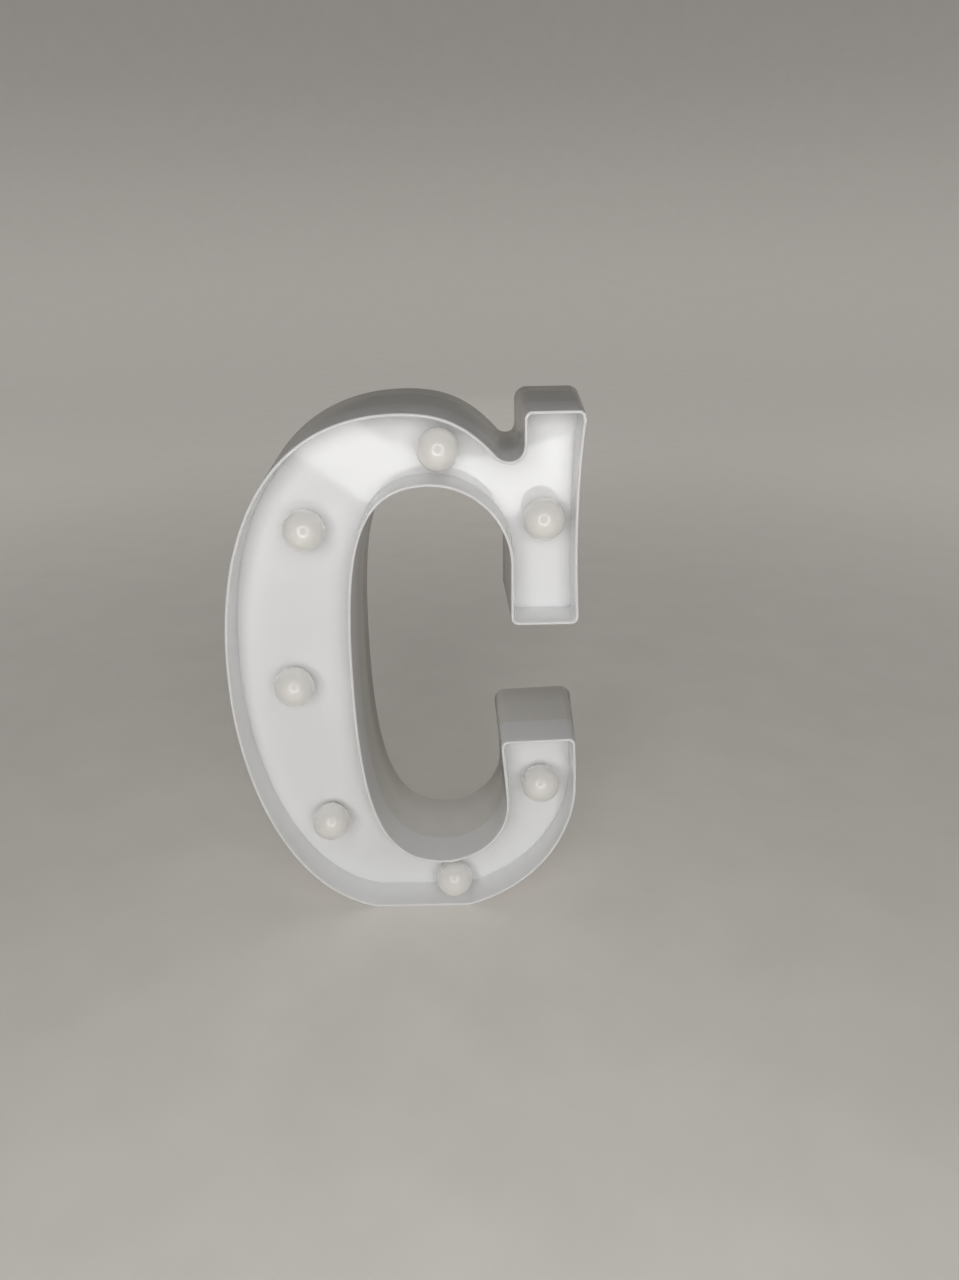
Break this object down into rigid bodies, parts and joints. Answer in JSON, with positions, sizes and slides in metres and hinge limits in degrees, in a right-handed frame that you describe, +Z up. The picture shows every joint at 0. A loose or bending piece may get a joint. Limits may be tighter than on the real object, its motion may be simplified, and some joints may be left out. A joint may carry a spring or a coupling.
{
  "type": "light-up letter",
  "caption": "Battery light-up marquee letter C: white drafted shell with a recessed tray of frosted bulbs, rear cover with battery door, slide switch and hanging keyhole.",
  "frame": {"origin": "on the standing surface, under the middle of the letter's whole width and depth", "axes": "+Z up the letter, the lit face looks along -Y, +X to the right of someone facing it"},
  "size_m": [0.1436, 0.0466, 0.2198],
  "materials": {
    "shell_white": "glossy moulded, slightly translucent",
    "cover_white": "fine satin texture",
    "bulb_frosted": "frosted, translucent, warm white",
    "plug_white": "moulded",
    "led_clear": "clear dome over yellow phosphor",
    "cell_sleeve": null,
    "spring_steel": "nickel plated wire",
    "contact_steel": "nickel plated sheet",
    "contact_brass": "tinned tabs",
    "switch_black": "moulded",
    "screw_steel": "zinc plated",
    "resistor_tan": "lacquered",
    "wire_red": "soft insulation",
    "wire_black": "soft insulation"
  },
  "bodies": {
    "letter": {"front_shell": "shell_white", "back_cover": "cover_white", "cells": "cell_sleeve", "cell_springs": "spring_steel", "bridge_plate": "contact_steel", "plus_plate": "contact_steel", "minus_plate": "contact_steel", "switch_frame": "contact_steel", "switch_body": "switch_black", "switch_terminals": "contact_brass", "switch_screws": "screw_steel", "cover_screws": "screw_steel", "bulb_1": "bulb_frosted", "bulb_2": "bulb_frosted", "bulb_3": "bulb_frosted", "bulb_4": "bulb_frosted", "bulb_5": "bulb_frosted", "bulb_6": "bulb_frosted", "bulb_7": "bulb_frosted", "lamp_plugs": "plug_white", "leds": "led_clear", "resistor": "resistor_tan", "wire_chain_plus": "wire_red", "wire_chain_minus": "wire_black", "wire_battery_plus": "wire_red", "wire_battery_minus": "wire_black", "wire_feed_in": "wire_red", "wire_feed_out": "wire_red"},
    "battery_door": {"battery_door": "cover_white"},
    "switch_knob": {"switch_knob": "switch_black"}
  },
  "joints": [
    {"name": "battery_door_tilt", "type": "hinge", "parent": "letter", "child": "battery_door", "pos_m": [-0.0434, 0.0223, 0.0764], "axis": [-1, 0, 0], "range_deg": [0, 85]},
    {"name": "switch_slide", "type": "slide", "parent": "letter", "child": "switch_knob", "axis": [1, 0, 0], "range_m": [0, 0.004]}
  ]
}
